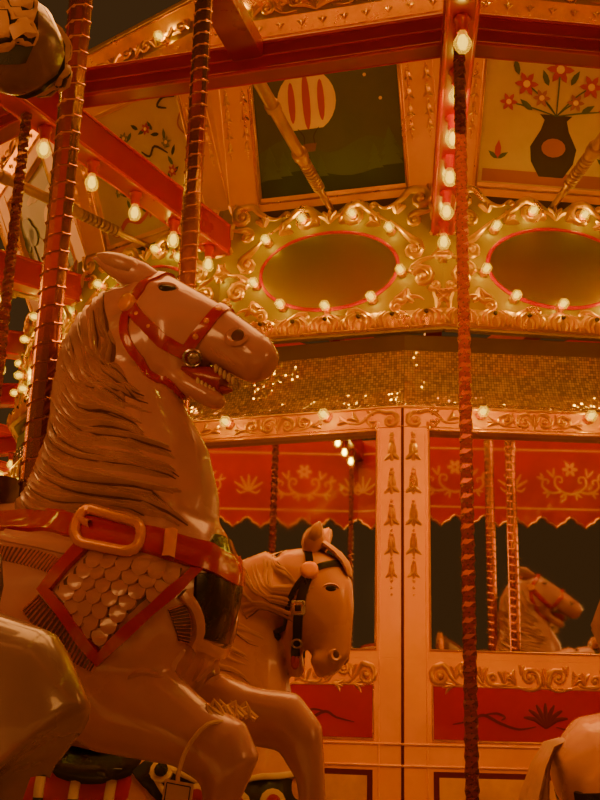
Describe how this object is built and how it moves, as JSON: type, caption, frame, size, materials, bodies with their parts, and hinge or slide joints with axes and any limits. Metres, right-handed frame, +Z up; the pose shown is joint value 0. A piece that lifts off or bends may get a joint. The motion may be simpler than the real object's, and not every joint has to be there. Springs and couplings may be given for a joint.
{
  "type": "fairground carousel",
  "caption": "Turning platform carousel with rows of galloping horses on twisted brass poles round a mirrored centre house.",
  "frame": {"origin": "on the turning axis at ground level", "axes": "+Z up along the turning axis; the side seen in the picture faces -Y, and its horses face +X"},
  "size_m": [14.6114, 14.6114, 4.8],
  "materials": {
    "cream_paint": "old gloss paint",
    "red_paint": "gloss paint",
    "red_enamel": "gloss enamel",
    "dark_steel": "dark satin paint",
    "mirror_glass": "silvered glass",
    "mirror_mosaic": "small mirror tiles",
    "brown_paint": "matt paint",
    "green_gold_paint": "aged gloss paint",
    "gilding": "gold leaf",
    "shaft_paint": "bronze paint",
    "scene_paint": "painted scenes",
    "deck_boards": "worn varnish",
    "horse_enamel": "glossy enamel",
    "pole_brass": "polished, worn",
    "bulb_glass": "lit clear glass",
    "black_leather": "painted harness"
  },
  "bodies": {
    "centre_house": {"base_frame": "dark_steel", "centre_mast": "dark_steel", "lower_wall": "cream_paint", "red_panel_wall": "red_paint", "window_frame": "cream_paint", "mirror_band": "mirror_glass", "mirror_cove": "mirror_mosaic", "house_cap": "brown_paint"},
    "turning_frame": {"hub_and_sweeps": "red_enamel", "shield_ring": "green_gold_paint", "shield_trim": "gilding", "crank_shafts": "shaft_paint", "painted_panels": "scene_paint", "pilasters": "cream_paint", "cornice": "gilding", "inner_rail": "red_enamel", "middle_rail": "red_enamel", "outer_rail": "red_enamel", "rounding_boards": "red_paint", "platform_frame": "dark_steel", "inner_deck": "deck_boards", "middle_deck": "deck_boards", "platform_edge": "red_paint", "outer_deck_1": "deck_boards", "outer_deck_2": "deck_boards", "outer_deck_3": "deck_boards", "outer_deck_4": "deck_boards"},
    "middle_horses_a": {"middle_horse_01": "horse_enamel", "middle_horse_04": "horse_enamel", "middle_horse_05": "horse_enamel", "middle_horse_08": "horse_enamel", "middle_horse_09": "horse_enamel", "middle_horse_12": "horse_enamel", "middle_horse_13": "horse_enamel", "middle_horse_16": "horse_enamel"},
    "middle_horses_b": {"middle_horse_02": "horse_enamel", "middle_horse_03": "horse_enamel", "middle_horse_06": "horse_enamel", "middle_horse_07": "horse_enamel", "middle_horse_10": "horse_enamel", "middle_horse_11": "horse_enamel", "middle_horse_14": "horse_enamel", "middle_horse_15": "horse_enamel"},
    "inner_horses_a": {"inner_horse_01": "horse_enamel", "inner_horse_04": "horse_enamel", "inner_horse_05": "horse_enamel", "inner_horse_08": "horse_enamel", "inner_horse_09": "horse_enamel", "inner_horse_12": "horse_enamel", "inner_horse_13": "horse_enamel", "inner_horse_16": "horse_enamel"},
    "inner_horses_b": {"inner_horse_02": "horse_enamel", "inner_horse_03": "horse_enamel", "inner_horse_06": "horse_enamel", "inner_horse_07": "horse_enamel", "inner_horse_10": "horse_enamel", "inner_horse_11": "horse_enamel", "inner_horse_14": "horse_enamel", "inner_horse_15": "horse_enamel"}
  },
  "joints": [
    {"name": "platform_turn", "type": "hinge", "parent": "centre_house", "child": "turning_frame", "pos_m": [0, 0, 3.5], "axis": [0, 0, 1], "continuous": true},
    {"name": "middle_a_rise", "type": "slide", "parent": "turning_frame", "child": "middle_horses_a", "axis": [0, 0, 1], "range_m": [-0.4, 0]},
    {"name": "middle_b_rise", "type": "slide", "parent": "turning_frame", "child": "middle_horses_b", "axis": [0, 0, 1], "range_m": [0, 0.4]},
    {"name": "inner_a_rise", "type": "slide", "parent": "turning_frame", "child": "inner_horses_a", "axis": [0, 0, 1], "range_m": [0, 0.4]},
    {"name": "inner_b_rise", "type": "slide", "parent": "turning_frame", "child": "inner_horses_b", "axis": [0, 0, 1], "range_m": [-0.4, 0]}
  ],
  "couplings": [
    {"joint": "middle_b_rise", "follows": "middle_a_rise", "ratio": -1},
    {"joint": "inner_a_rise", "follows": "middle_a_rise", "ratio": -1},
    {"joint": "inner_b_rise", "follows": "middle_a_rise", "ratio": 1}
  ]
}
